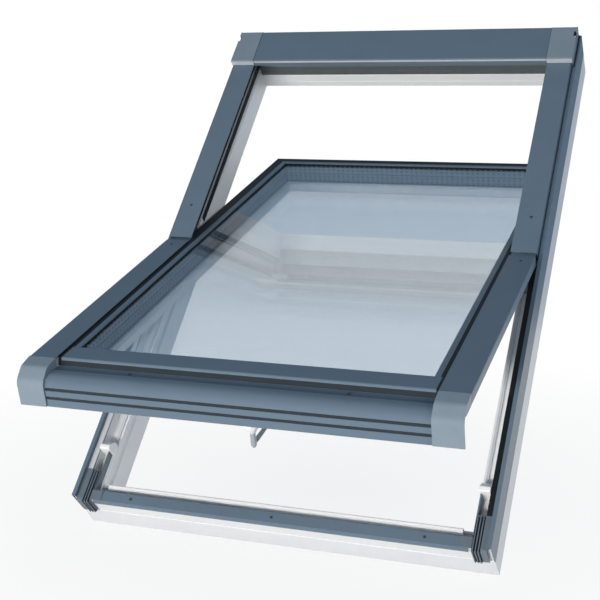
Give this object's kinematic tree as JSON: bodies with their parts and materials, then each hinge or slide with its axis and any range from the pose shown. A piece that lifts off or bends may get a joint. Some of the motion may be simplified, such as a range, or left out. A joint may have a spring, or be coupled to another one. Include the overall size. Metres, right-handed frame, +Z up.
{
  "type": "roof skylight",
  "caption": "Centre-pivot roof window: white frame and glazed sash with blue-grey metal covers, tilted open about a horizontal axis, with a turning handle and lock bolt.",
  "frame": {"origin": "middle of the sash's pivot axis, at mid height and mid width of the frame, in the plane of the side covers' outer faces", "axes": "+X along the pivot axis, to the right seen from outside; +Z up; the frame is pitched 45 degrees and faces -Y"},
  "size_m": [0.78, 1.1277, 0.9294],
  "materials": {
    "white_pvc": "satin welded profile",
    "moulded_white": "moulded satin",
    "lacquered_aluminium": "satin blue-grey lacquer",
    "grey_end_caps": "moulded, matched to the lacquer",
    "corner_covers": "moulded, ribbed",
    "black_rubber": "extruded seal",
    "grey_rubber": "pale extruded seal",
    "clear_glass": "clear float glass",
    "spacer_bars": "perforated spacer",
    "zinc_steel": "zinc plated",
    "dark_screws": "lacquered screw heads",
    "handle_metal": "satin die-cast"
  },
  "bodies": {
    "frame": {"frame_head": "white_pvc", "frame_sill": "white_pvc", "frame_left_jamb": "white_pvc", "frame_right_jamb": "white_pvc", "guide_block_left": "moulded_white", "guide_block_right": "moulded_white", "jamb_cladding_left": "lacquered_aluminium", "jamb_cladding_right": "lacquered_aluminium", "sill_cladding": "lacquered_aluminium", "hood": "lacquered_aluminium", "upper_cover_left": "lacquered_aluminium", "upper_cover_right": "lacquered_aluminium", "hood_end_cap_left": "grey_end_caps", "hood_end_cap_right": "grey_end_caps", "corner_cover_left": "corner_covers", "corner_cover_right": "corner_covers", "frame_gasket": "black_rubber", "channel_seal_right": "black_rubber", "sill_seal": "grey_rubber", "channel_seal_left": "grey_rubber", "pivot_plate_left": "zinc_steel", "pivot_plate_right": "zinc_steel", "keeper": "zinc_steel", "sill_screws": "dark_screws", "upper_cover_screws": "dark_screws"},
    "sash": {"sash_top_rail": "white_pvc", "sash_bottom_rail": "white_pvc", "sash_left_stile": "white_pvc", "sash_right_stile": "white_pvc", "handle_base": "moulded_white", "lower_cover_left": "lacquered_aluminium", "lower_cover_right": "lacquered_aluminium", "glazing_strip_left": "lacquered_aluminium", "glazing_strip_right": "lacquered_aluminium", "glazing_strip_top": "lacquered_aluminium", "bottom_rail_cover": "lacquered_aluminium", "lower_cap_left": "grey_end_caps", "lower_cap_right": "grey_end_caps", "sash_gasket": "black_rubber", "glazing_gasket": "black_rubber", "glass_outer": "clear_glass", "glass_middle": "clear_glass", "glass_inner": "clear_glass", "spacer_outer": "spacer_bars", "spacer_inner": "spacer_bars", "pivot_arm_left": "zinc_steel", "pivot_arm_right": "zinc_steel", "lock_case": "zinc_steel", "lower_cover_screws": "dark_screws", "bottom_cover_screws": "dark_screws"},
    "handle": {"handle_lever": "handle_metal", "handle_spindle": "zinc_steel"},
    "lock_bolt": {"lock_bolt": "zinc_steel"}
  },
  "joints": [
    {"name": "sash_pivot", "type": "hinge", "parent": "frame", "child": "sash", "pos_m": [0, 0, 0], "axis": [-1, 0, 0], "range_deg": [-31, 105]},
    {"name": "handle_turn", "type": "hinge", "parent": "sash", "child": "handle", "pos_m": [0, -0.48472, -0.20536], "axis": [0, -0.2419, 0.9703], "range_deg": [0, 90]},
    {"name": "lock_slide", "type": "slide", "parent": "sash", "child": "lock_bolt", "axis": [0, -0.9703, -0.2419], "range_m": [0, 0.016]}
  ],
  "couplings": [
    {"joint": "lock_slide", "follows": "handle_turn", "m_per_rad": 0.010186}
  ]
}
